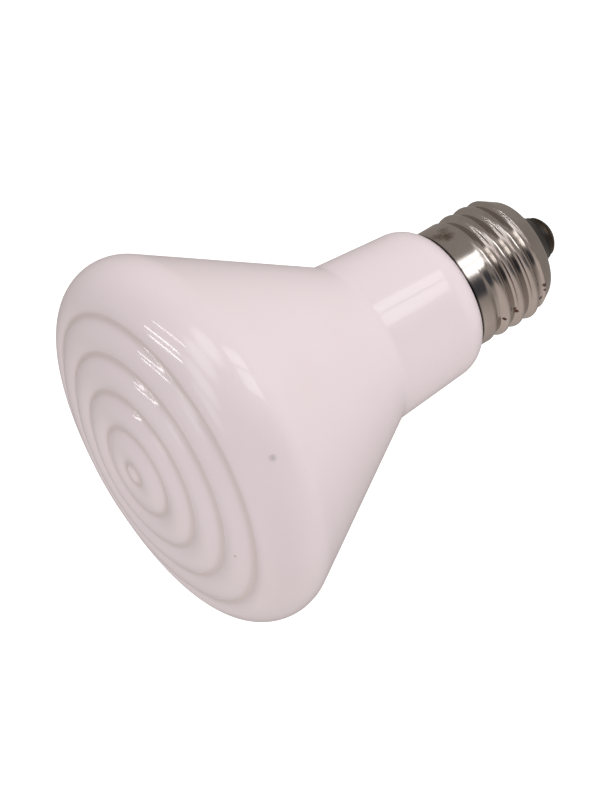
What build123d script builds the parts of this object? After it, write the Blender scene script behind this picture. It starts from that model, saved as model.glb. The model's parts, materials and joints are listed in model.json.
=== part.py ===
import math
import os

from build123d import *

# Ceramic heat emitter with an E27 screw cap: a glazed mushroom with a rippled, domed face.
# The lamp's axis is Z, the tip of its end contact is at z = 0 and its face looks up.
# All sizes are millimetres, and heights are counted up from the contact's tip.

# E27 thread, rolled into a thin shell
thread_pitch = 25.4 / 7
crest_radius = 13.2
thread_depth = 1.05
root_flat = 0.2         # plain strip left at the bottom of each groove
foot_sink = 0.05        # the rib's foot lies this far under the groove's bottom
crest_height = 18.6     # height of one crest on the +X side
shell_wall = 0.35

# Screw shell
shell_end = 7.2         # height of the shell's lower end over the contact's tip
shell_length = 20.5
skirt_radius = 13.0
skirt_length = 5.3
flare_length = 1.6      # height over which the groove's bottom widens to the skirt
end_round = 2.5         # rounding of the shell's lower corner
end_taper = 30          # draw-in of the shell's lower end, in degrees to the axis
taper_length = 4.8      # from the shell's end up to where the draw-in starts
crest_play = 0.1        # the trimming form stands this far off the crests
lip_radius = 8.4        # opening in the turned-in lower end

# Insulator and contact
insulator_clearance = 0.1
flange_height = 1.9
boss_radius = 4.7
boss_height = 0.7
contact_radius = 4.3
contact_height = 2.7
contact_flat = 1.6      # radius of the flat at the contact's tip
contact_round = 0.8
dome_radius = 5.4
solder_radius = 1.3

# Ceramic body
total_height = 105.5
body_radius = 40.0
crown_radius = 95.0     # curve of the face, taken over its ridges
rim_round = 9.2
rim_drop = 14.9         # centre of the rim's rounding, below the middle of the face
rim_ridge_turn = 60     # where the rim's rounding starts, in degrees over level
neck_length = 22.9      # from the seat to where the flank starts
neck_top_radius = 17.6
neck_low_radius = 16.2
neck_fillet = 4.0
shoulder_height = 5.4
seat_overhang = 0.2     # the shoulder's lower edge stands this far out over the skirt

# Ripples of the face
groove_count = 4
groove_margin = 8.0     # from the body's side in to the outermost groove
groove_depth = 1.3      # before its bottom is rounded
groove_round = 1.5
nub_radius = 2.4
nub_depth = 0.6
nub_round = 0.8

# Spigot of the ceramic inside the cap, its cement and its leads
skirt_clearance = 0.15
cement_gap = 0.9        # thinnest the cement may be
spigot_collar = 4.6     # length of the wide part, inside the skirt
spigot_length = 13.7
spigot_chamfer = 0.6
cement_clearance = 0.05
cement_margin = 0.8     # cement stops this far short of the spigot's end
lead_radius = 0.4
lead_hole_radius = 0.55
lead_hole_depth = 6.0
lead_in_hole = 5.0
lead_bend = 0.9
centre_lead_x = -3.2
side_lead_x = 5.5
centre_lead_drop = 1.2  # from the spigot's end to the centre lead's bend
centre_lead_slant = 1.2
lead_in_solder = 1.4

# Heights and radii that follow
root_radius = crest_radius - thread_depth
seat_height = shell_end + shell_length
skirt_end = seat_height - skirt_length
spigot_end = seat_height - spigot_length
foot_half = thread_pitch / 2 - root_flat / 2
flank_slope = 2 * math.atan((thread_depth + foot_sink) / foot_half)
thread_arc = foot_half / math.sin(flank_slope) / 2
boss_top = contact_height + boss_height
flange_top = shell_end + shell_wall + flange_height
taper_angle = math.radians(end_taper)
corner_height = shell_end + end_round
corner_drop = taper_length - end_round * (1 - math.sin(taper_angle))
corner_centre = crest_radius - corner_drop * math.tan(taper_angle) - end_round * math.cos(taper_angle)


def face_height(radius):
    """Height of the face's ridges at a radius: a sphere of the crown's radius."""
    return total_height - crown_radius + math.sqrt(crown_radius**2 - radius**2)


def taper_foot(inset):
    """Where the round corner of the shell's end meets its straight draw-in, set in by a distance."""
    rounding = end_round - inset
    return (
        corner_centre + rounding * math.cos(taper_angle),
        corner_height - rounding * math.sin(taper_angle),
    )


def thread_form(inset):
    """Solid inside the rolled thread, set in by a wall's thickness, up to the skirt."""
    root = root_radius - inset
    crest = crest_radius - inset
    root_arc = thread_arc + inset
    foot = -foot_sink
    knee = foot + root_arc * (1 - math.cos(flank_slope))
    knee_half = foot_half - root_arc * math.sin(flank_slope)
    under = foot - root_arc
    low = shell_end + inset
    reach = crest + crest_play
    foot_point = taper_foot(inset)
    taper_top = foot_point[1] + (reach - foot_point[0]) / math.tan(taper_angle)
    start = crest_height - thread_pitch * math.ceil((crest_height - shell_end) / thread_pitch + 0.5)

    # The rib's section lies in a plane through the axis and follows a right-hand helix.
    with BuildPart() as form:
        with BuildLine(Plane.XY.offset(start)) as path:
            Helix(thread_pitch, skirt_end + thread_pitch / 2 - start, root)
        with BuildSketch(Plane(origin=path.line @ 0, x_dir=(1, 0, 0), z_dir=(0, -1, 0))):
            with BuildLine():
                Polyline((foot, -foot_half), (under, -foot_half), (under, foot_half), (foot, foot_half))
                TangentArc((foot, foot_half), (knee, knee_half), tangent=(0, -1))
                ThreePointArc((knee, knee_half), (crest - root, 0), (knee, -knee_half))
                TangentArc((foot, -foot_half), (knee, -knee_half), tangent=(0, 1))
            make_face()
        sweep(path=path.line, is_frenet=True)
        with BuildSketch(Plane.XZ):
            with Locations((0, start)):
                Rectangle(root, skirt_end + thread_pitch - start, align=(Align.MIN, Align.MIN))
        revolve(axis=Axis.Z)
        # Ribs and grooves are drawn in to a round lower corner, and the ribs slant into the skirt.
        with BuildSketch(Plane.XZ):
            with BuildLine():
                Polyline((0, low), (corner_centre, low))
                TangentArc((corner_centre, low), foot_point, tangent=(1, 0))
                Polyline(foot_point, (reach, taper_top), (reach, skirt_end - thread_pitch / 2))
                Polyline((reach, skirt_end - thread_pitch / 2), (skirt_radius - inset, skirt_end))
                Polyline((skirt_radius - inset, skirt_end), (0, skirt_end), (0, low))
            make_face()
        revolve(axis=Axis.Z, mode=Mode.INTERSECT)
    return form


outer_form = thread_form(0)
inner_form = thread_form(shell_wall)

# Nickel-plated shell: rolled thread, a turned-in lower end, and a plain skirt above.
# The bottom of the thread's groove flares out to the skirt in two even arcs.
flare_radius = root_radius - foot_sink
flare_start = skirt_end - flare_length
flare_middle = ((flare_radius + skirt_radius) / 2, skirt_end - flare_length / 2)
with BuildPart() as screw_shell:
    add(outer_form.part)
    with BuildSketch(Plane.XZ):
        with BuildLine():
            Polyline((0, flare_start - foot_sink), (flare_radius, flare_start - foot_sink))
            Polyline((flare_radius, flare_start - foot_sink), (flare_radius, flare_start))
            TangentArc((flare_radius, flare_start), flare_middle, tangent=(0, 1))
            TangentArc((skirt_radius, skirt_end), flare_middle, tangent=(0, -1))
            Polyline((skirt_radius, skirt_end), (skirt_radius, seat_height), (0, seat_height))
            Line((0, seat_height), (0, flare_start - foot_sink))
        make_face()
    revolve(axis=Axis.Z)
    add(inner_form.part, mode=Mode.SUBTRACT)
    with BuildSketch(Plane.XY.offset(seat_height)):
        Circle(skirt_radius - shell_wall)
    extrude(amount=-skirt_length, mode=Mode.SUBTRACT)
    with BuildSketch(Plane.XY.offset(shell_end)):
        Circle(lip_radius)
    extrude(amount=shell_wall, mode=Mode.SUBTRACT)

# Black insulator: a flange that fills the shell's end and a cone down to the contact
flange_foot = taper_foot(shell_wall + insulator_clearance)
flange_radius = flange_foot[0] + (flange_top - flange_foot[1]) * math.tan(taper_angle)
with BuildPart() as base_insulator:
    with BuildSketch(Plane.XZ):
        with BuildLine():
            Polyline(
                (lead_hole_radius, flange_top),
                (flange_radius, flange_top),
                flange_foot,
                (corner_centre, shell_end + shell_wall),
                (lip_radius - insulator_clearance, shell_end + shell_wall),
                (lip_radius - insulator_clearance, shell_end),
                (boss_radius, boss_top),
                (boss_radius, contact_height),
                (lead_hole_radius, contact_height),
                close=True,
            )
        make_face()
    revolve(axis=Axis.Z)

# End contact: a domed metal button with a hole for the solder
dome_centre = math.sqrt(dome_radius**2 - contact_flat**2)
dome_top = dome_centre - math.sqrt(dome_radius**2 - contact_radius**2)
dome_middle = (contact_radius + contact_flat) / 2
with BuildPart() as end_contact:
    with BuildSketch(Plane.XZ) as contact_section:
        with BuildLine():
            Polyline((contact_flat, 0), (solder_radius, 0), (solder_radius, contact_height))
            Polyline((solder_radius, contact_height), (contact_radius, contact_height))
            Polyline((contact_radius, contact_height), (contact_radius, dome_top))
            ThreePointArc(
                (contact_radius, dome_top),
                (dome_middle, dome_centre - math.sqrt(dome_radius**2 - dome_middle**2)),
                (contact_flat, 0),
            )
        make_face()
        dome_corner = contact_section.vertices().sort_by_distance((contact_radius, dome_top))[0]
        fillet(dome_corner, radius=contact_round)
    revolve(axis=Axis.Z)

# Solder that fills the contact's hole and holds the centre lead
with BuildPart() as contact_solder:
    with BuildSketch():
        Circle(solder_radius)
    extrude(amount=contact_height)
    with BuildSketch(Plane.XY.offset(contact_height)):
        Circle(lead_radius)
    extrude(amount=-lead_in_solder, mode=Mode.SUBTRACT)

# Glazed ceramic body: rippled face, rounded rim, flank, neck, shoulder and the spigot in the cap
rim_centre = (body_radius - rim_round, total_height - rim_drop)
neck_top = seat_height + neck_length
rim_across = rim_centre[0] - neck_top_radius
rim_above = rim_centre[1] - neck_top
flank_angle = math.degrees(
    math.atan2(rim_across, rim_above) + math.asin(rim_round / math.hypot(rim_across, rim_above))
)
shoulder_top = seat_height + shoulder_height
seat_radius = skirt_radius + seat_overhang
spigot_radius = min(root_radius, skirt_radius) - shell_wall - cement_gap
collar_radius = skirt_radius - shell_wall - skirt_clearance
collar_end = seat_height - spigot_collar
groove_pitch = (body_radius - groove_margin - nub_radius) / groove_count
grooves = [nub_radius + groove_pitch * (index + 1) for index in range(groove_count)]
groove_points = [(nub_radius, face_height(nub_radius) - nub_depth)]
groove_points += [(radius, face_height(radius) - groove_depth) for radius in grooves]
groove_rounds = [nub_round] + [groove_round] * groove_count

with BuildPart() as ceramic_body:
    with BuildSketch(Plane.XZ) as half_section:
        with BuildLine():
            TangentArc((0, total_height), groove_points[0], tangent=(1, 0))
            for inner, outer in zip(groove_points, groove_points[1:]):
                middle = (inner[0] + outer[0]) / 2
                ThreePointArc(inner, (middle, face_height(middle)), outer)
            rim = CenterArc(rim_centre, rim_round, -flank_angle, flank_angle + rim_ridge_turn)
            TangentArc(rim @ 1, groove_points[-1], tangent=rim % 1)
            Polyline(rim @ 0, (neck_top_radius, neck_top), (neck_low_radius, shoulder_top))
            TangentArc(
                (neck_low_radius, shoulder_top),
                (seat_radius, seat_height),
                tangent=(neck_low_radius - neck_top_radius, shoulder_top - neck_top),
            )
            Polyline(
                (seat_radius, seat_height),
                (collar_radius, seat_height),
                (collar_radius, collar_end),
                (spigot_radius, collar_end),
                (spigot_radius, spigot_end),
                (0, spigot_end),
                (0, total_height),
            )
        make_face()
        for point, rounding in zip(groove_points, groove_rounds):
            bottom = half_section.vertices().sort_by_distance(point)[0]
            fillet(bottom, radius=rounding)
        junction = half_section.vertices().sort_by_distance((neck_top_radius, neck_top))[0]
        fillet(junction, radius=neck_fillet)
        spigot_corner = half_section.vertices().sort_by_distance((spigot_radius, spigot_end))[0]
        chamfer(spigot_corner, length=spigot_chamfer)
    revolve(axis=Axis.Z)
    with BuildSketch(Plane.XY.offset(spigot_end)):
        with Locations((centre_lead_x, 0), (side_lead_x, 0)):
            Circle(lead_hole_radius)
    extrude(amount=lead_hole_depth, mode=Mode.SUBTRACT)

# Cement between the spigot and the bottoms of the shell's thread
with BuildPart() as cap_cement:
    with BuildSketch(Plane.XY.offset(spigot_end + cement_margin)):
        Circle(root_radius - shell_wall - cement_clearance)
        Circle(spigot_radius, mode=Mode.SUBTRACT)
    extrude(amount=collar_end - thread_pitch / 2 - spigot_end - cement_margin)

# Centre lead: out of the spigot, across to the axis and down into the solder
with BuildPart() as centre_lead:
    with BuildLine() as centre_route:
        FilletPolyline(
            (centre_lead_x, 0, spigot_end + lead_in_hole),
            (centre_lead_x, 0, spigot_end - centre_lead_drop),
            (0, 0, spigot_end - centre_lead_drop - centre_lead_slant),
            (0, 0, contact_height - lead_in_solder),
            radius=lead_bend,
        )
    with BuildSketch(Plane(origin=centre_route.line @ 0, z_dir=centre_route.line % 0)):
        Circle(lead_radius)
    sweep()

# Side lead: out of the spigot and across to the shell, which it meets at a groove of the thread
side_lead_height = crest_height - thread_pitch * 1.5
with BuildPart() as side_lead:
    with BuildLine() as side_route:
        FilletPolyline(
            (side_lead_x, 0, spigot_end + lead_in_hole),
            (side_lead_x, 0, side_lead_height),
            (root_radius - shell_wall, 0, side_lead_height),
            radius=lead_bend,
        )
    with BuildSketch(Plane(origin=side_route.line @ 0, z_dir=side_route.line % 0)):
        Circle(lead_radius)
    sweep()

pieces = {
    "ceramic_body": ceramic_body,
    "screw_shell": screw_shell,
    "base_insulator": base_insulator,
    "end_contact": end_contact,
    "contact_solder": contact_solder,
    "cap_cement": cap_cement,
    "centre_lead": centre_lead,
    "side_lead": side_lead,
}
os.makedirs("parts", exist_ok=True)
for name, piece in pieces.items():
    piece.part.label = name
    export_step(piece.part, f"parts/{name}.step")
    print(name, round(piece.part.volume, 1), "mm3", piece.part.is_valid)
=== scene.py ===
import json
import math

import bpy
import numpy as np
from mathutils import Matrix, Vector

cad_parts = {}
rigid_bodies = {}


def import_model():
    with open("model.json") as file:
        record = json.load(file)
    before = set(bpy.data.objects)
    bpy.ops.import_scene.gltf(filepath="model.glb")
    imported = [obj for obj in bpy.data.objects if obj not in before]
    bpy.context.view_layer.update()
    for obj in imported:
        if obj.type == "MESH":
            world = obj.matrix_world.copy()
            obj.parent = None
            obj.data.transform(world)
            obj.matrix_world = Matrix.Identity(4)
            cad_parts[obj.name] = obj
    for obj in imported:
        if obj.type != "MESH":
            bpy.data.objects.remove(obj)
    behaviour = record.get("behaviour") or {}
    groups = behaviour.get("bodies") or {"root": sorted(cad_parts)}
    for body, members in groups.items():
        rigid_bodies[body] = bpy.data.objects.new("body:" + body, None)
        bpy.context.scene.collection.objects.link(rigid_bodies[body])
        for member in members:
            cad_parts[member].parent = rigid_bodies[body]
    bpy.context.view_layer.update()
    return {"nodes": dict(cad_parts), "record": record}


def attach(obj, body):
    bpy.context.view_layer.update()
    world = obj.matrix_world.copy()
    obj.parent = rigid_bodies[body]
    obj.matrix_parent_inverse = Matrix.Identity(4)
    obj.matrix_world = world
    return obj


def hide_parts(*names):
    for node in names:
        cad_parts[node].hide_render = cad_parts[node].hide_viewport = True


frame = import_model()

nodes = frame["nodes"]
mm = 0.001  # the frame is in metres, and the sizes of the pieces below are in mm and degrees
print("frame loaded:", sorted(nodes))


# Helpers for surfaces

def arcPoints(centre, radius, startAngle, endAngle, count):
    # point = centre + radius (cos a, sin a), for even steps of the angle a, in (distance from axis, height)
    angle = np.linspace(startAngle, endAngle, count)
    return np.stack([centre[0] + radius * np.cos(angle), centre[1] + radius * np.sin(angle)], 1)


def arcOnto(start, heading, end):
    # Circle that leaves start along heading and passes through end:
    # its radius is |chord| squared over twice the chord's part across the heading.
    chord = np.subtract(end, start)
    across = np.array([-heading[1], heading[0]])
    radius = chord @ chord / (2 * chord @ across)
    return np.add(start, across * radius), radius


def circleThrough(a, b, c):
    # Centre equally far from all three points: two linear equations from |p - a| = |p - b| = |p - c|
    left = 2 * np.array([np.subtract(b, a), np.subtract(c, a)])
    right = np.array([np.dot(b, b) - np.dot(a, a), np.dot(c, c) - np.dot(a, a)])
    centre = np.linalg.solve(left, right)
    return centre, np.linalg.norm(np.subtract(a, centre))


def upperMeeting(centreA, radiusA, centreB, radiusB):
    # Higher of the two points where circles A and B cross
    apart = np.subtract(centreB, centreA)
    distance = np.linalg.norm(apart)
    along = (radiusA**2 - radiusB**2 + distance**2) / (2 * distance)
    rise = math.sqrt(radiusA**2 - along**2)
    unit = apart / distance
    return centreA + unit * along + np.array([-unit[1], unit[0]]) * rise


def roundedCorner(before, corner, after, radius, count):
    # Arc of the radius that touches both lines at the corner, from one line to the other
    inward = np.subtract(before, corner) / np.linalg.norm(np.subtract(before, corner))
    onward = np.subtract(after, corner) / np.linalg.norm(np.subtract(after, corner))
    half = math.acos(np.clip(inward @ onward, -1, 1)) / 2
    bisector = (inward + onward) / np.linalg.norm(inward + onward)
    centre = corner + bisector * radius / math.sin(half)
    first = corner + inward * radius / math.tan(half) - centre
    last = corner + onward * radius / math.tan(half) - centre
    startAngle = math.atan2(first[1], first[0])
    turn = (math.atan2(last[1], last[0]) - startAngle + math.pi) % (2 * math.pi) - math.pi
    return arcPoints(centre, radius, startAngle, startAngle + turn, count)


def meshPiece(name, vertices, faces, sharpAngle):
    mesh = bpy.data.meshes.new(name)
    mesh.from_pydata(vertices.tolist(), [], faces)
    mesh.validate()
    mesh.shade_smooth()
    mesh.set_sharp_from_angle(angle=math.radians(sharpAngle))
    piece = bpy.data.objects.new(name, mesh)
    bpy.context.scene.collection.objects.link(piece)
    return piece


def wrappedGrid(rows, columns, loop):
    # Quads between row i and i + 1 and column j and j + 1; columns close on themselves, rows too if loop
    upper = np.arange(rows if loop else rows - 1)[:, None]
    column = np.arange(columns)[None, :]
    following, beside = (upper + 1) % rows, (column + 1) % columns
    corners = [upper * columns + column, following * columns + column,
               following * columns + beside, upper * columns + beside]
    return np.stack([c.reshape(-1) for c in corners], 1)


def ringPiece(name, grid, sharpAngle):
    # Closed ring: grid[i, j] is point i of the section at turn j
    rows, columns = grid.shape[:2]
    faces = wrappedGrid(rows, columns, True)
    return meshPiece(name, grid.reshape(-1, 3) * mm, faces.tolist(), sharpAngle)


def turnedGrid(profile, turns):
    # (r, z) turned about Z: (r cos t, r sin t, z)
    turn = np.arange(turns) * 2 * math.pi / turns
    radius, height = profile[:, 0:1], profile[:, 1:2]
    return np.stack([radius * np.cos(turn), radius * np.sin(turn), height + 0 * turn], 2)


def turnedPiece(name, profile, turns, sharpAngle):
    # Solid of revolution whose profile starts and ends on the axis, with a fan of triangles round each end
    grid = turnedGrid(profile[1:-1], turns)
    rows = len(grid)
    ends = np.array([[0, 0, profile[0, 1]], [0, 0, profile[-1, 1]]])
    vertices = np.concatenate([grid.reshape(-1, 3), ends]) * mm
    column = np.arange(turns)
    beside = (column + 1) % turns
    top, bottom = rows * turns, rows * turns + 1
    last = (rows - 1) * turns
    faces = wrappedGrid(rows, turns, False).tolist()
    faces += np.stack([top + 0 * column, column, beside], 1).tolist()
    faces += np.stack([bottom + 0 * column, last + beside, last + column], 1).tolist()
    return meshPiece(name, vertices, faces, sharpAngle)


# Ceramic body

ceramic = {
    "totalHeight": 105.5, "bodyRadius": 40.0, "crownRadius": 95.0,
    "rimRound": 9.2, "rimDrop": 14.9, "rimRidgeTurn": 60,
    "neckLength": 22.9, "neckTopRadius": 17.6, "neckLowRadius": 16.2, "neckFillet": 4.0,
    "shoulderHeight": 5.4, "seatHeight": 27.7, "seatRadius": 13.2,
    "grooveCount": 4, "grooveMargin": 8.0, "grooveDepth": 1.3, "grooveRound": 1.5,
    "nubRadius": 2.4, "nubDepth": 0.6, "nubRound": 0.8,
    "collarRadius": 12.5, "collarLength": 2.2,
    "spigotRadius": 10.9, "spigotLength": 13.7, "spigotChamfer": 0.6,
    "ridgePoints": 14, "groovePoints": 7, "lastRidgePoints": 12, "rimPoints": 40, "flankPoints": 24,
    "filletPoints": 10, "neckPoints": 14, "shoulderPoints": 20, "turns": 256, "sharpAngle": 35,
}


def faceHeight(radius):
    # Sphere of the crown's radius, through the middle of the face
    c = ceramic
    return c["totalHeight"] - c["crownRadius"] + math.sqrt(c["crownRadius"]**2 - radius**2)


def groovePitch():
    # The grooves lie evenly between the ring in the middle and the margin inside the rim.
    c = ceramic
    return (c["bodyRadius"] - c["grooveMargin"] - c["nubRadius"]) / c["grooveCount"]


def ceramicProfile():
    # From the middle of the face out over its ridges, round the rim, down the flank and the neck, and back
    # to the axis. Each ridge is an arc, and a smaller arc that touches both neighbours fills each groove.
    c = ceramic
    bottoms = [np.array([c["nubRadius"], faceHeight(c["nubRadius"]) - c["nubDepth"]])]
    for index in range(c["grooveCount"]):
        radius = c["nubRadius"] + groovePitch() * (index + 1)
        bottoms.append(np.array([radius, faceHeight(radius) - c["grooveDepth"]]))

    sag = c["totalHeight"] - bottoms[0][1]
    nubArc = (c["nubRadius"]**2 + sag**2) / (2 * sag)
    circles = [(np.array([0, c["totalHeight"] - nubArc]), nubArc)]
    for inner, outer in zip(bottoms, bottoms[1:]):
        middle = (inner[0] + outer[0]) / 2
        circles.append(circleThrough(inner, (middle, faceHeight(middle)), outer))
    rimCentre = np.array([c["bodyRadius"] - c["rimRound"], c["totalHeight"] - c["rimDrop"]])
    ridgeTurn = math.radians(c["rimRidgeTurn"])
    rimEnd = rimCentre + c["rimRound"] * np.array([math.cos(ridgeTurn), math.sin(ridgeTurn)])
    circles.append(arcOnto(rimEnd, (-math.sin(ridgeTurn), math.cos(ridgeTurn)), bottoms[-1]))
    rounds = [c["nubRound"]] + [c["grooveRound"]] * c["grooveCount"]

    pieces, entry = [], math.pi / 2
    for (centre, radius), (nextCentre, nextRadius), fill in zip(circles, circles[1:], rounds):
        fillCentre = upperMeeting(centre, radius + fill, nextCentre, nextRadius + fill)
        toFill, toNext = fillCentre - centre, nextCentre - fillCentre
        leave = math.atan2(toFill[1], toFill[0])
        fillEnd = math.atan2(toNext[1], toNext[0])
        pieces.append(arcPoints(centre, radius, entry, leave, c["ridgePoints"]))
        pieces.append(arcPoints(fillCentre, fill, leave - math.pi, fillEnd, c["groovePoints"])[1:-1])
        entry = math.atan2(-toNext[1], -toNext[0])
    pieces.append(arcPoints(*circles[-1], entry, ridgeTurn, c["lastRidgePoints"])[:-1])

    neckTop = np.array([c["neckTopRadius"], c["seatHeight"] + c["neckLength"]])
    across, above = rimCentre - neckTop
    flankTurn = math.atan2(across, above) + math.asin(c["rimRound"] / math.hypot(across, above))
    pieces.append(arcPoints(rimCentre, c["rimRound"], ridgeTurn, -flankTurn, c["rimPoints"]))
    shoulderTop = np.array([c["neckLowRadius"], c["seatHeight"] + c["shoulderHeight"]])
    junction = roundedCorner(pieces[-1][-1], neckTop, shoulderTop, c["neckFillet"], c["filletPoints"])
    pieces.append(np.linspace(pieces[-1][-1], junction[0], c["flankPoints"])[1:-1])
    pieces.append(junction)
    heading = (shoulderTop - neckTop) / np.linalg.norm(shoulderTop - neckTop)
    seatEdge = np.array([c["seatRadius"], c["seatHeight"]])
    shoulderCentre, shoulderRadius = arcOnto(shoulderTop, heading, seatEdge)
    start, end = shoulderTop - shoulderCentre, seatEdge - shoulderCentre
    pieces.append(np.linspace(junction[-1], shoulderTop, c["neckPoints"])[1:-1])
    pieces.append(arcPoints(shoulderCentre, abs(shoulderRadius), math.atan2(start[1], start[0]),
                            math.atan2(end[1], end[0]), c["shoulderPoints"]))

    collarEnd, spigotEnd = c["seatHeight"] - c["collarLength"], c["seatHeight"] - c["spigotLength"]
    pieces.append(np.array([
        [c["collarRadius"], c["seatHeight"]], [c["collarRadius"], collarEnd], [c["spigotRadius"], collarEnd],
        [c["spigotRadius"], spigotEnd + c["spigotChamfer"]],
        [c["spigotRadius"] - c["spigotChamfer"], spigotEnd], [0, spigotEnd]]))
    return np.concatenate(pieces)


bodyProfile = ceramicProfile()
glazedBody = turnedPiece("glazed_body", bodyProfile, ceramic["turns"], ceramic["sharpAngle"])
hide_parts("ceramic_body")
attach(glazedBody, "root")
print("ceramic body:", len(bodyProfile), "rings")


# Screw shell

shell = {
    "pitch": 25.4 / 7, "crestRadius": 13.2, "threadDepth": 1.05, "rootFlat": 0.2, "footSink": 0.05,
    "crestHeight": 18.6, "wall": 0.35, "end": 7.2, "length": 20.5, "skirtRadius": 13.0,
    "crestFadeFrom": 20.6, "crestFadeTo": 22.6, "grooveFadeFrom": 22.3, "grooveFadeTo": 23.3,
    "endRound": 2.5, "endTaper": 30, "taperLength": 4.8, "lipRadius": 8.4, "edgeSoftness": 0.08,
    "turns": 256, "outerSteps": 50, "innerSteps": 12, "cornerPoints": 14, "sharpAngle": 50,
}


def smoothStep(low, high, value):
    # 3 t^2 - 2 t^3, where t runs from 0 at low to 1 at high
    t = np.clip((value - low) / (high - low), 0, 1)
    return t * t * (3 - 2 * t)


def threadRadius(turn, height, inset):
    # Radius of the rolled wall at a turn and height. The distance to the nearest crest of the right-hand
    # helix gives the rib: a round crest over the middle of the pitch, and a hollow arc on each side of it
    # down to the root.
    s = shell
    footHalf = s["pitch"] / 2 - s["rootFlat"] / 2
    slope = 2 * math.atan((s["threadDepth"] + s["footSink"]) / footHalf)
    rootArc = footHalf / math.sin(slope) / 2 + inset
    knee = rootArc * (1 - math.cos(slope)) - s["footSink"]
    kneeHalf = footHalf - rootArc * math.sin(slope)
    crestSag = s["threadDepth"] - knee
    crestArc = (kneeHalf**2 + crestSag**2) / (2 * crestSag)
    phase = (height - s["crestHeight"]) / s["pitch"] - turn / (2 * math.pi)
    away = np.abs(phase - np.round(phase)) * s["pitch"]
    crest = s["threadDepth"] - crestArc + np.sqrt(np.maximum(crestArc**2 - away**2, 0))
    hollow = rootArc - s["footSink"] - np.sqrt(np.maximum(rootArc**2 - (footHalf - away)**2, 0))
    rib = np.maximum(np.where(away < kneeHalf, crest, np.where(away < footHalf, hollow, 0)), 0)
    # Each groove runs out as its own middle climbs through the fade, and the crests sink to the skirt.
    grooveHeight = s["crestHeight"] + s["pitch"] * (np.floor(phase) + 0.5 + turn / (2 * math.pi))
    depth = (s["threadDepth"] - rib) * (1 - smoothStep(s["grooveFadeFrom"], s["grooveFadeTo"], grooveHeight))
    sink = smoothStep(s["crestFadeFrom"], s["crestFadeTo"], height)
    outline = s["crestRadius"] + (s["skirtRadius"] - s["crestRadius"]) * sink
    return outline - depth - inset


def shellGrid():
    # Each row of the section has a height and a limit for its radius: the turned-in end, the round corner,
    # the draw-in, the thread and the skirt on the outside, then the same inside, set in by the wall.
    s = shell
    turn = np.arange(s["turns"]) * 2 * math.pi / s["turns"]
    top = s["end"] + s["length"]
    taper = math.radians(s["endTaper"])
    drop = s["taperLength"] - s["endRound"] * (1 - math.sin(taper))
    centre = s["crestRadius"] - drop * math.tan(taper) - s["endRound"] * math.cos(taper)
    rows = []
    for inset, side, steps in ((0, 1, s["outerSteps"]), (s["wall"], -1, s["innerSteps"])):
        corner = s["endRound"] - inset
        angle = np.linspace(-math.pi / 2, -taper, s["cornerPoints"])
        cornerHeight = s["end"] + s["endRound"] + corner * np.sin(angle)
        cornerRows = np.stack([cornerHeight, centre + corner * np.cos(angle)], 1)
        foot, footRadius = cornerRows[-1]
        heights = np.append(np.arange(foot, top, s["pitch"] / steps)[1:], top)
        drawnIn = np.stack([heights, footRadius + (heights - foot) * math.tan(taper)], 1)
        allRows = np.concatenate([cornerRows, drawnIn])
        # The thread meets the draw-in with a soft edge of softness k:
        # -k ln(exp(-a / k) + exp(-b / k)) of their radii a and b
        threaded, limit = threadRadius(turn[None, :], allRows[:, 0:1], inset), allRows[:, 1:2]
        soft = s["edgeSoftness"]
        radius = -soft * np.logaddexp(-threaded / soft, -limit / soft)
        height = np.broadcast_to(allRows[:, 0:1], radius.shape)
        flat = np.full((1, s["turns"]), s["lipRadius"])
        radius = np.concatenate([flat, radius])
        height = np.concatenate([np.full_like(flat, s["end"] + inset), height])
        rows.append(np.stack([radius * np.cos(turn), radius * np.sin(turn), height], 2)[::side])
    return np.concatenate(rows)[::-1]


shellPoints = shellGrid()
rolledShell = ringPiece("rolled_shell", shellPoints, shell["sharpAngle"])
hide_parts("screw_shell")
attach(rolledShell, "root")
print("screw shell:", shellPoints.shape[0], "rows")


# Insulator and end contact

capEnd = {
    "leadHole": 0.55, "flangeRadius": 11.2, "flangeTop": 9.45, "flangeFoot": (10.76, 8.675),
    "flangeLow": 7.55, "flatRadius": 8.98, "plugRadius": 8.3, "plugLow": 7.2,
    "bossRadius": 4.7, "bossTop": 3.4, "contactHeight": 2.7, "edgeRound": 0.3,
    "contactRadius": 4.3, "contactFlat": 1.6, "contactRound": 0.8, "domeRadius": 5.4, "solderRadius": 1.3,
    "roundPoints": 6, "slopePoints": 8, "edgePoints": 10, "domePoints": 14, "turns": 160, "sharpAngle": 30,
}


def insulatorProfile():
    # Closed section of the insulator, whose boss has slightly rounded outer corners
    e = capEnd
    plugEdge, bossEdge = np.array([e["plugRadius"], e["plugLow"]]), np.array([e["bossRadius"], e["bossTop"]])
    bossLow = np.array([e["bossRadius"], e["contactHeight"]])
    slopeRound = roundedCorner(plugEdge, bossEdge, bossLow, e["edgeRound"], e["roundPoints"])
    lowRound = roundedCorner(slopeRound[-1], bossLow, np.array([e["leadHole"], e["contactHeight"]]),
                             e["edgeRound"], e["roundPoints"])
    return np.concatenate([
        [[e["leadHole"], e["flangeTop"]], [e["flangeRadius"], e["flangeTop"]], e["flangeFoot"],
         [e["flatRadius"], e["flangeLow"]], [e["plugRadius"], e["flangeLow"]], plugEdge],
        np.linspace(plugEdge, slopeRound[0], e["slopePoints"])[1:-1], slopeRound, lowRound,
        [[e["leadHole"], e["contactHeight"]]]])


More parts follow.
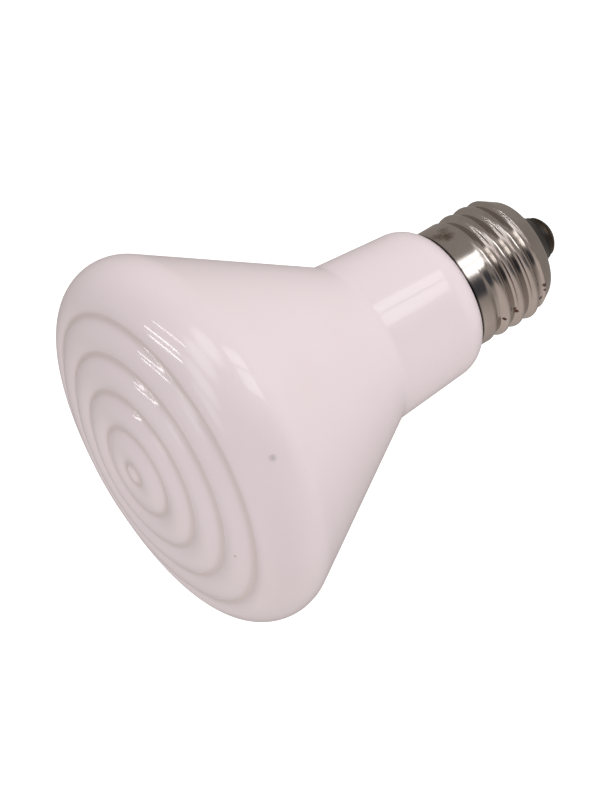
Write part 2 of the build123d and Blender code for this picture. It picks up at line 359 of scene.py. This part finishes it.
def contactProfile():
    # Section of the end contact: a sphere's cap with a flat tip, a rounded edge, and a hole in the middle
    e = capEnd
    centre = math.sqrt(e["domeRadius"]**2 - e["contactFlat"]**2)
    # The edge's circle touches the dome from inside and the cylinder: its centre is one radius in from both.
    inRadius = e["contactRadius"] - e["contactRound"]
    inHeight = centre - math.sqrt((e["domeRadius"] - e["contactRound"])**2 - inRadius**2)
    touch = math.atan2(inHeight - centre, inRadius)
    edge = arcPoints((inRadius, inHeight), e["contactRound"], 0, touch, e["edgePoints"])
    tip = -math.acos(e["contactFlat"] / e["domeRadius"])
    dome = arcPoints((0, centre), e["domeRadius"], touch, tip, e["domePoints"])[1:]
    return np.concatenate([
        [[e["solderRadius"], e["contactHeight"]], [e["contactRadius"], e["contactHeight"]]], edge, dome,
        [[e["solderRadius"], 0]]])


insulatorPoints = turnedGrid(insulatorProfile(), capEnd["turns"])
contactPoints = turnedGrid(contactProfile(), capEnd["turns"])
insulator = ringPiece("moulded_insulator", insulatorPoints, capEnd["sharpAngle"])
contact = ringPiece("contact_button", contactPoints, capEnd["sharpAngle"])
for piece, node, slot in ((insulator, "base_insulator", "insulator"), (contact, "end_contact", "contact")):
    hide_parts(node)
    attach(piece, "root")
print("insulator and contact:", len(insulatorPoints), "and", len(contactPoints), "rings")


# Materials

def nodeLink(tree, source, target):
    tree.links.new(source, target)


def addNode(tree, kind, inputs=None, **settings):
    # The settings come first, because some of them decide which inputs a node has.
    node = tree.nodes.new(kind)
    for setting, value in settings.items():
        setattr(node, setting, value)
    for socket, value in (inputs or {}).items():
        if isinstance(value, bpy.types.NodeSocket):
            nodeLink(tree, value, node.inputs[socket])
        else:
            node.inputs[socket].default_value = value
    return node


def mathValue(tree, operation, *values):
    return addNode(tree, "ShaderNodeMath", dict(enumerate(values)), operation=operation).outputs[0]


def vectorNode(tree, operation, *vectors):
    return addNode(tree, "ShaderNodeVectorMath", dict(enumerate(vectors)), operation=operation)


def objectPlace(tree):
    return addNode(tree, "ShaderNodeTexCoord").outputs["Object"]


def noiseValue(tree, place, scale, detail, roughness=0.5):
    noise = addNode(tree, "ShaderNodeTexNoise", {"Vector": place, "Scale": scale, "Detail": detail,
                                                 "Roughness": roughness})
    return noise.outputs["Fac"]


def smoothRange(tree, value, low, high, atLow=0.0, atHigh=1.0):
    # atLow up to low and atHigh from high on, with a smooth step between
    node = addNode(tree, "ShaderNodeMapRange", {"Value": value, "From Min": low, "From Max": high,
                                                "To Min": atLow, "To Max": atHigh},
                   interpolation_type="SMOOTHSTEP")
    return node.outputs["Result"]


def blendColour(tree, factor, first, second):
    # Sockets 6 and 7 of a Mix node are its two colours, and output 2 is the mixed one.
    return addNode(tree, "ShaderNodeMix", {0: factor, 6: first, 7: second}, data_type="RGBA").outputs[2]


def newGroup(name, inputs, outputs):
    # Node group whose named inputs and outputs are floats, colours or vectors
    group = bpy.data.node_groups.new(name, "ShaderNodeTree")
    for label, kind, value in inputs:
        socket = group.interface.new_socket(label, in_out="INPUT", socket_type=kind)
        socket.default_value = value
    for label, kind in outputs:
        group.interface.new_socket(label, in_out="OUTPUT", socket_type=kind)
    return group, group.nodes.new("NodeGroupInput"), group.nodes.new("NodeGroupOutput")


def placeGroup(tree, group, values):
    return addNode(tree, "ShaderNodeGroup", values, node_tree=group)


patterns = {
    "raggedScale": 1500, "raggedDetail": 2,
    "mottleDetail": 4, "mottleRoughness": 0.55, "mottleFrom": 0.3, "mottleTo": 0.7, "grainDetail": 2,
}


def buildSpotGroup():
    # Mask of one round mark with a ragged edge: 1 within Size of Place, 0 outside
    group, inside, out = newGroup(
        "oneMark", [("Place", "NodeSocketVector", (0, 0, 0)), ("Size", "NodeSocketFloat", 0.001),
                    ("Ragged", "NodeSocketFloat", 0.3), ("Edge", "NodeSocketFloat", 0.3)],
        [("Mask", "NodeSocketFloat")])
    where = objectPlace(group)
    offset = vectorNode(group, "SUBTRACT", where, inside.outputs["Place"]).outputs["Vector"]
    away = vectorNode(group, "LENGTH", offset).outputs["Value"]
    ratio = mathValue(group, "DIVIDE", away, inside.outputs["Size"])
    noise = noiseValue(group, where, patterns["raggedScale"], patterns["raggedDetail"])
    centred = mathValue(group, "SUBTRACT", noise, 0.5)
    ragged = mathValue(group, "MULTIPLY_ADD", centred, inside.outputs["Ragged"], ratio)
    low = mathValue(group, "SUBTRACT", 1.0, inside.outputs["Edge"])
    nodeLink(group, smoothRange(group, ragged, low, 1.0, 1.0, 0.0), out.inputs["Mask"])
    return group


def buildMottleGroup():
    # Slow variation between two colours, with a fine grain's height for the bump
    group, inside, out = newGroup(
        "slowMottle", [("Pale", "NodeSocketColor", (1, 1, 1, 1)), ("Deep", "NodeSocketColor", (0, 0, 0, 1)),
                       ("Scale", "NodeSocketFloat", 40), ("Grain", "NodeSocketFloat", 900)],
        [("Color", "NodeSocketColor"), ("Amount", "NodeSocketFloat"), ("Height", "NodeSocketFloat")])
    where = objectPlace(group)
    slow = noiseValue(group, where, inside.outputs["Scale"], patterns["mottleDetail"],
                      patterns["mottleRoughness"])
    spread = addNode(group, "ShaderNodeMapRange", {"Value": slow, "From Min": patterns["mottleFrom"],
                                                   "From Max": patterns["mottleTo"]}).outputs["Result"]
    colour = blendColour(group, spread, inside.outputs["Pale"], inside.outputs["Deep"])
    grain = noiseValue(group, where, inside.outputs["Grain"], patterns["grainDetail"])
    nodeLink(group, colour, out.inputs["Color"])
    nodeLink(group, spread, out.inputs["Amount"])
    nodeLink(group, grain, out.inputs["Height"])
    return group


spotGroup, mottleGroup = buildSpotGroup(), buildMottleGroup()


def startMaterial(name):
    # A new material, its node tree and the Principled shader in it
    material = bpy.data.materials.new(name)
    material.use_nodes = True
    tree = material.node_tree
    return material, tree, tree.nodes["Principled BSDF"]


def fadeBetween(tree, value, none, full):
    # 0 at the one length in mm and 1 at the other, with a smooth step between
    return smoothRange(tree, value, min(none, full) * mm, max(none, full) * mm,
                       float(full < none), float(full > none))


def axisDistance(tree, place):
    # Distance from the lamp's axis: the length of (x, y, 0)
    flat = vectorNode(tree, "MULTIPLY", place, (1, 1, 0)).outputs["Vector"]
    return vectorNode(tree, "LENGTH", flat).outputs["Value"]


def axisHeight(tree, place):
    return addNode(tree, "ShaderNodeSeparateXYZ", {0: place}).outputs["Z"]


def marksOver(tree, colour, marks):
    # Lays each mark over the colour
    for place, size, tint, strength, ragged, edge in marks:
        mark = placeGroup(tree, spotGroup, {"Place": [v * mm for v in place], "Size": size * mm,
                                            "Ragged": ragged, "Edge": edge})
        amount = mathValue(tree, "MULTIPLY", mark.outputs["Mask"], strength)
        colour = blendColour(tree, amount, colour, tint)
    return colour


def spreadRoughness(tree, shader, mottle, roughness, spread):
    # The roughness rises by the spread where the mottle is deep.
    rough = addNode(tree, "ShaderNodeMapRange", {"Value": mottle.outputs["Amount"], "To Min": roughness,
                                                 "To Max": roughness + spread})
    nodeLink(tree, rough.outputs["Result"], shader.inputs["Roughness"])


def grainBump(tree, shader, mottle, strength, depth):
    bump = addNode(tree, "ShaderNodeBump", {"Height": mottle.outputs["Height"], "Strength": strength,
                                            "Distance": depth * mm})
    nodeLink(tree, bump.outputs["Normal"], shader.inputs["Normal"])


# Marks: place in mm, size in mm, colour, strength, raggedness, width of the edge
glazeLook = {
    "pale": (0.80, 0.69, 0.715, 1), "deep": (0.765, 0.65, 0.67, 1), "mottleScale": 28,
    "roughness": 0.3, "coat": 0.62, "coatRoughness": 0.075, "coatIndex": 1.95, "specular": 0.25,
    "grainScale": 260, "bumpStrength": 0.06, "bumpDepth": 0.4,
    # The pooled colour is brownish glaze in the face's grooves and painted shade of the grooves as well.
    "pooledAndShaded": (0.57, 0.475, 0.44, 1), "poolShadeStrength": 0.6, "poolShadeNarrow": 0.1, "poolShadeWide": 1.15,
    "poolShadeEnd": 34.5, "poolShadeFade": 1, "poolShadeFrom": 88, "poolShadeTo": 91,
    "marks": [((-10.6, -38.2, 93.1), 1.1, (0.40, 0.35, 0.35, 1), 0.55, 0.8, 0.9),
              ((-23.7, -15.7, 101.2), 0.5, (0.30, 0.24, 0.20, 1), 0.6, 0.8, 0.8)],
}


def glazeMaterial():
    look = glazeLook
    material, tree, shader = startMaterial("pinkish_white_glaze")
    mottle = placeGroup(tree, mottleGroup, {"Pale": look["pale"], "Deep": look["deep"],
                                            "Scale": look["mottleScale"], "Grain": look["grainScale"]})
    # The glaze pools brownish in the face's grooves, and the same colour paints the grooves' shade: the
    # distance to the nearest groove is the radius folded back and forth over half the grooves' pitch.
    where = objectPlace(tree)
    radius = axisDistance(tree, where)
    past = mathValue(tree, "SUBTRACT", radius, ceramic["nubRadius"] * mm)
    away = mathValue(tree, "PINGPONG", past, groovePitch() / 2 * mm)
    poolShade = fadeBetween(tree, away, look["poolShadeWide"], look["poolShadeNarrow"])
    inner = fadeBetween(tree, radius, look["poolShadeEnd"], look["poolShadeEnd"] - look["poolShadeFade"])
    high = fadeBetween(tree, axisHeight(tree, where), look["poolShadeFrom"], look["poolShadeTo"])
    amount = look["poolShadeStrength"]
    for mask in (poolShade, inner, high):
        amount = mathValue(tree, "MULTIPLY", mask, amount)
    colour = blendColour(tree, amount, mottle.outputs["Color"], look["pooledAndShaded"])
    nodeLink(tree, marksOver(tree, colour, look["marks"]), shader.inputs["Base Color"])
    shader.inputs["Roughness"].default_value = look["roughness"]
    shader.inputs["Coat Weight"].default_value = look["coat"]
    shader.inputs["Coat Roughness"].default_value = look["coatRoughness"]
    shader.inputs["Coat IOR"].default_value = look["coatIndex"]
    shader.inputs["Specular IOR Level"].default_value = look["specular"]
    grainBump(tree, shader, mottle, look["bumpStrength"], look["bumpDepth"])
    return material


nickelLook = {
    "pale": (0.63, 0.588, 0.567, 1), "deep": (0.54, 0.493, 0.468, 1), "mottleScale": 160,
    "roughness": 0.15, "roughnessSpread": 0.07, "grainScale": 2200, "bumpStrength": 0.02, "bumpDepth": 0.1,
    # The darker colour lies in the bottoms of the thread's grooves.
    "grooveDark": (0.24, 0.20, 0.17, 1), "grooveDarkFull": 12.13, "grooveDarkEnd": 12.19, "threadFrom": 11.6, "threadTo": 12.6,
    "jointFrom": 26.95, "jointFull": 27.35, "joint": (0.05, 0.042, 0.038, 1),
    "marks": [((-10.75, -6.59, 21.6), 0.62, (0.055, 0.012, 0.008, 1), 0.95, 0.5, 0.5),
              ((-10.58, -6.23, 18.25), 0.7, (0.07, 0.012, 0.010, 1), 0.95, 0.5, 0.5),
              ((-10.2, -7.1, 18.7), 0.55, (0.04, 0.010, 0.008, 1), 0.9, 0.7, 0.4),
              ((-10.83, -5.52, 11.8), 0.62, (0.05, 0.014, 0.010, 1), 0.9, 0.7, 0.4),
              ((-8.96, -8.65, 10.95), 0.62, (0.05, 0.016, 0.012, 1), 0.85, 0.7, 0.4),
              ((-9.87, -7.57, 10.9), 0.45, (0.05, 0.02, 0.015, 1), 0.8, 0.7, 0.4),
              ((9.58, -8.78, 24.6), 2.3, (0.17, 0.125, 0.085, 1), 0.85, 0.7, 1.0),
              ((10.4, -7.8, 26.0), 2.0, (0.18, 0.135, 0.10, 1), 0.65, 0.7, 1.0),
              ((11.0, -6.95, 23.8), 1.8, (0.20, 0.15, 0.11, 1), 0.6, 0.7, 1.0)],
}


def nickelMaterial():
    look = nickelLook
    material, tree, shader = startMaterial("bright_nickel")
    mottle = placeGroup(tree, mottleGroup, {"Pale": look["pale"], "Deep": look["deep"],
                                            "Scale": look["mottleScale"], "Grain": look["grainScale"]})
    # The thread's groove bottoms, found by their radius, are darker, and so is the joint under the ceramic.
    where = objectPlace(tree)
    height = axisHeight(tree, where)
    groove = fadeBetween(tree, axisDistance(tree, where), look["grooveDarkEnd"], look["grooveDarkFull"])
    thread = fadeBetween(tree, height, look["threadFrom"], look["threadTo"])
    grooveDark = mathValue(tree, "MULTIPLY", groove, thread)
    colour = blendColour(tree, grooveDark, mottle.outputs["Color"], look["grooveDark"])
    joint = fadeBetween(tree, height, look["jointFrom"], look["jointFull"])
    colour = blendColour(tree, joint, colour, look["joint"])
    nodeLink(tree, marksOver(tree, colour, look["marks"]), shader.inputs["Base Color"])
    shader.inputs["Metallic"].default_value = 1.0
    spreadRoughness(tree, shader, mottle, look["roughness"], look["roughnessSpread"])
    grainBump(tree, shader, mottle, look["bumpStrength"], look["bumpDepth"])
    return material


# Plainer finishes: name, pale colour, deep colour, metallic, roughness, pattern scale, grain scale, bump
plainLooks = {
    "insulator": ("black_insulator", (0.006, 0.0045, 0.0035, 1), (0.013, 0.010, 0.008, 1),
                  0, 0.32, 120, 1500, 0.1),
    "contact": ("dull_contact", (0.115, 0.088, 0.068, 1), (0.06, 0.045, 0.035, 1), 1, 0.38, 200, 1800, 0.15),
    "solder": ("grey_solder", (0.50, 0.50, 0.48, 1), (0.34, 0.34, 0.33, 1), 1, 0.42, 300, 2500, 0.3),
    "cement": ("pale_cement", (0.58, 0.55, 0.49, 1), (0.46, 0.43, 0.38, 1), 0, 0.85, 150, 2500, 0.5),
    "lead_wire": ("drawn_lead", (0.52, 0.50, 0.47, 1), (0.42, 0.40, 0.37, 1), 1, 0.35, 200, 2500, 0.1),
}
plainShared = {"roughnessSpread": 0.1, "bumpDepth": 0.2}


def plainMaterial(name, pale, deep, metallic, roughness, scale, grain, bumpStrength):
    material, tree, shader = startMaterial(name)
    mottle = placeGroup(tree, mottleGroup, {"Pale": pale, "Deep": deep, "Scale": scale, "Grain": grain})
    nodeLink(tree, mottle.outputs["Color"], shader.inputs["Base Color"])
    shader.inputs["Metallic"].default_value = metallic
    spreadRoughness(tree, shader, mottle, roughness, plainShared["roughnessSpread"])
    grainBump(tree, shader, mottle, bumpStrength, plainShared["bumpDepth"])
    return material


materials = {slot: plainMaterial(*look) for slot, look in plainLooks.items()}
materials["glaze"], materials["nickel"] = glazeMaterial(), nickelMaterial()
surfaces = {"glaze": glazedBody, "nickel": rolledShell, "insulator": insulator, "contact": contact}
for slot, piece in surfaces.items():
    piece.data.materials.append(materials[slot])
for part in frame["record"]["subparts"]:
    for materialSlot in nodes[part["node"]].material_slots:
        materialSlot.material = materials[part["material_slot"]]
print("materials set:", sorted(materials))


# Camera, floor and light

# The camera's target and distance are in metres, its heading, elevation and roll in degrees.
view = {
    "target": (-0.00406, 0, 0.0665), "distance": 0.84336, "heading": -89.6275, "elevation": 22.5266,
    "roll": -120.354, "focalPixels": 4223, "picture": (600, 800), "sensor": 36,
    "nearest": 0.01, "furthest": 50,
}
# Reflections change from the lower to the upper colour between the two rises. A rise is the part of a
# direction that lies along the camera's up, from -1 to 1.
stage = {
    "floorHeight": -1.0, "floorSize": 14.0, "floorColour": (0.82, 0.82, 0.82, 1), "floorLift": 0.65,
    "ambient": 0.73, "mirrorAbove": (0.31, 0.28, 0.255, 1), "mirrorBelow": (0.66, 0.58, 0.53, 1),
    "riseBelow": -0.9, "riseAbove": -0.1, "aimHeight": 0.061,
}
# Cards that only reflections show: degrees to the camera's right, degrees up, degrees out to the full and
# to the faded edge, and colour. The pale ones run from above the camera down its left side, and the dark
# ones lie to its right.
cards = [
    (-10, 42, 6, 18, (1.5, 1.5, 1.48, 1)), (-32, 20, 6, 18, (1.4, 1.38, 1.35, 1)),
    (-50, -5, 5, 16, (1.3, 1.27, 1.22, 1)), (-66, -22, 3, 12, (1.0, 0.97, 0.92, 1)),
    (50, 0, 10, 22, (0.05, 0.05, 0.06, 1)), (18, -18, 4, 16, (0.07, 0.065, 0.065, 1)),
]
# Soft boxes: name, degrees to the camera's right, degrees up, distance, width, height, power, whether
# reflections show it, and the pieces that it lights, or None for all. The front boxes are stronger for the
# metal than for the glaze, whose edges would clip to white in them when seen from behind.
glazed, metal = [glazedBody], [rolledShell, insulator, contact]
softBoxes = [
    ("upper_left_bar", -60, 18, 0.75, 0.34, 0.018, 0.11, True, None),
    ("middle_left_bar", -73, 4, 0.75, 0.34, 0.022, 0.17, True, None),
    ("lower_left_bar", -76, -3, 0.75, 0.34, 0.022, 0.17, True, None),
    ("upper_metal_box", 38, 46.5, 0.60, 0.27, 0.12, 0.25, True, metal),
    ("lower_metal_box", 40, 31, 0.60, 0.27, 0.15, 0.31, True, metal),
    ("upper_glaze_box", 38, 46.5, 0.60, 0.27, 0.12, 0.12, True, glazed),
    ("lower_glaze_box", 40, 31, 0.60, 0.27, 0.15, 0.15, True, glazed),
    ("front_fill", 38, 38, 0.60, 0.50, 0.50, 0.63, False, None),
    ("high_fill", 0, 75, 0.60, 0.50, 0.50, 0.9, False, None),
    ("low_fill", -20, -60, 0.60, 0.50, 0.50, 0.45, False, None),
    ("right_fill", 100, 0, 0.60, 0.50, 0.50, 1.15, False, None),
]


def cameraAxes():
    # Back points from the target at the heading and elevation. The level and upright directions across it,
    # turned about it by the roll, are the camera's right and up.
    heading, elevation, roll = [math.radians(view[name]) for name in ("heading", "elevation", "roll")]
    back = Vector((math.cos(elevation) * math.cos(heading), math.cos(elevation) * math.sin(heading),
                   math.sin(elevation)))
    level = Vector((0, 0, 1)).cross(back).normalized()
    upright = back.cross(level)
    right = level * math.cos(roll) + upright * math.sin(roll)
    return right, back.cross(right), back


cameraRight, cameraUp, cameraBack = cameraAxes()


def fromCamera(rightward, upward):
    # Direction at these degrees to the camera's right and up, seen from the lamp towards the camera
    side, rise = math.radians(rightward), math.radians(upward)
    level = cameraRight * math.sin(side) + cameraBack * math.cos(side)
    return level * math.cos(rise) + cameraUp * math.sin(rise)


def seenDirectly(tree, path):
    # 1 for rays straight from the camera, or through a clear piece
    return mathValue(tree, "MAXIMUM", path.outputs["Is Camera Ray"], path.outputs["Is Transmission Ray"])


def buildFloor():
    half = stage["floorSize"] / 2
    corners = [(-half, -half), (half, -half), (half, half), (-half, half)]
    mesh = bpy.data.meshes.new("floor")
    mesh.from_pydata([(x, y, stage["floorHeight"]) for x, y in corners], [], [(0, 1, 2, 3)])
    floor = bpy.data.objects.new("floor", mesh)
    bpy.context.scene.collection.objects.link(floor)
    floor.visible_glossy = False  # reflections show the studio's own colours
    material, tree, shader = startMaterial("pale_floor")
    tree.nodes.remove(shader)
    path = addNode(tree, "ShaderNodeLightPath")
    lift = mathValue(tree, "MULTIPLY", seenDirectly(tree, path), stage["floorLift"])
    diffuse = addNode(tree, "ShaderNodeBsdfDiffuse", {"Color": stage["floorColour"]})
    glow = addNode(tree, "ShaderNodeEmission", {"Strength": lift})
    both = addNode(tree, "ShaderNodeAddShader", {0: diffuse.outputs[0], 1: glow.outputs[0]})
    nodeLink(tree, both.outputs[0], tree.nodes["Material Output"].inputs["Surface"])
    mesh.materials.append(material)


def alongHeading(tree, heading, direction):
    # Cosine of the angle between a ray's heading and a direction
    return vectorNode(tree, "DOT_PRODUCT", heading, direction).outputs["Value"]


def buildWorld():
    # White to the camera. Reflections show a dim warm room, paler below, and the cards.
    # For all other light it is one plain level.
    world = bpy.data.worlds.new("studio")
    bpy.context.scene.world = world
    world.use_nodes = True
    tree = world.node_tree
    tree.nodes.clear()
    output = addNode(tree, "ShaderNodeOutputWorld")
    path = addNode(tree, "ShaderNodeLightPath")
    heading = addNode(tree, "ShaderNodeTexCoord").outputs["Generated"]
    rise = alongHeading(tree, heading, cameraUp)
    high = smoothRange(tree, rise, stage["riseBelow"], stage["riseAbove"])
    sheen = blendColour(tree, high, stage["mirrorBelow"], stage["mirrorAbove"])
    for rightward, upward, full, faded, colour in cards:
        towards = alongHeading(tree, heading, fromCamera(rightward, upward))
        amount = smoothRange(tree, towards, math.cos(math.radians(faded)), math.cos(math.radians(full)))
        sheen = blendColour(tree, amount, sheen, colour)
    mirrored = addNode(tree, "ShaderNodeBackground", {"Color": sheen, "Strength": 1.0})
    white = addNode(tree, "ShaderNodeBackground", {"Color": (1, 1, 1, 1), "Strength": 1.0})
    level = addNode(tree, "ShaderNodeBackground", {"Color": (1, 1, 1, 1), "Strength": stage["ambient"]})
    first = addNode(tree, "ShaderNodeMixShader", {0: path.outputs["Is Glossy Ray"], 1: level.outputs[0],
                                                  2: mirrored.outputs[0]})
    second = addNode(tree, "ShaderNodeMixShader", {0: seenDirectly(tree, path), 1: first.outputs[0],
                                                   2: white.outputs[0]})
    nodeLink(tree, second.outputs[0], output.inputs["Surface"])


def buildSoftBox(name, rightward, upward, distance, width, height, power, mirrored, lit):
    lamp = bpy.data.lights.new(name, "AREA")
    lamp.shape, lamp.size, lamp.size_y, lamp.energy = "RECTANGLE", width, height, power
    holder = bpy.data.objects.new(name, lamp)
    bpy.context.scene.collection.objects.link(holder)
    away = fromCamera(rightward, upward)
    level = cameraUp.cross(away).normalized()
    facing = Matrix((level, away.cross(level), away)).transposed().to_4x4()
    aim = Vector((0, 0, stage["aimHeight"]))
    holder.matrix_world = Matrix.Translation(aim + away * distance) @ facing
    holder.visible_camera, holder.visible_glossy = False, mirrored
    if lit:
        receivers = bpy.data.collections.new(name + "_receivers")
        for piece in lit:
            receivers.objects.link(piece)
        holder.light_linking.receiver_collection = receivers


def buildCamera():
    camera = bpy.data.cameras.new("camera")
    camera.sensor_fit, camera.sensor_width = "AUTO", view["sensor"]
    camera.lens = view["focalPixels"] / max(view["picture"]) * view["sensor"]
    camera.clip_start, camera.clip_end = view["nearest"], view["furthest"]
    holder = bpy.data.objects.new("camera", camera)
    bpy.context.scene.collection.objects.link(holder)
    facing = Matrix((cameraRight, cameraUp, cameraBack)).transposed().to_4x4()
    holder.matrix_world = Matrix.Translation(Vector(view["target"]) + cameraBack * view["distance"]) @ facing
    bpy.context.scene.camera = holder


buildFloor()
buildWorld()
for box in softBoxes:
    buildSoftBox(*box)
buildCamera()
bpy.context.scene.view_settings.view_transform = "Standard"
print("stage, light and camera set")
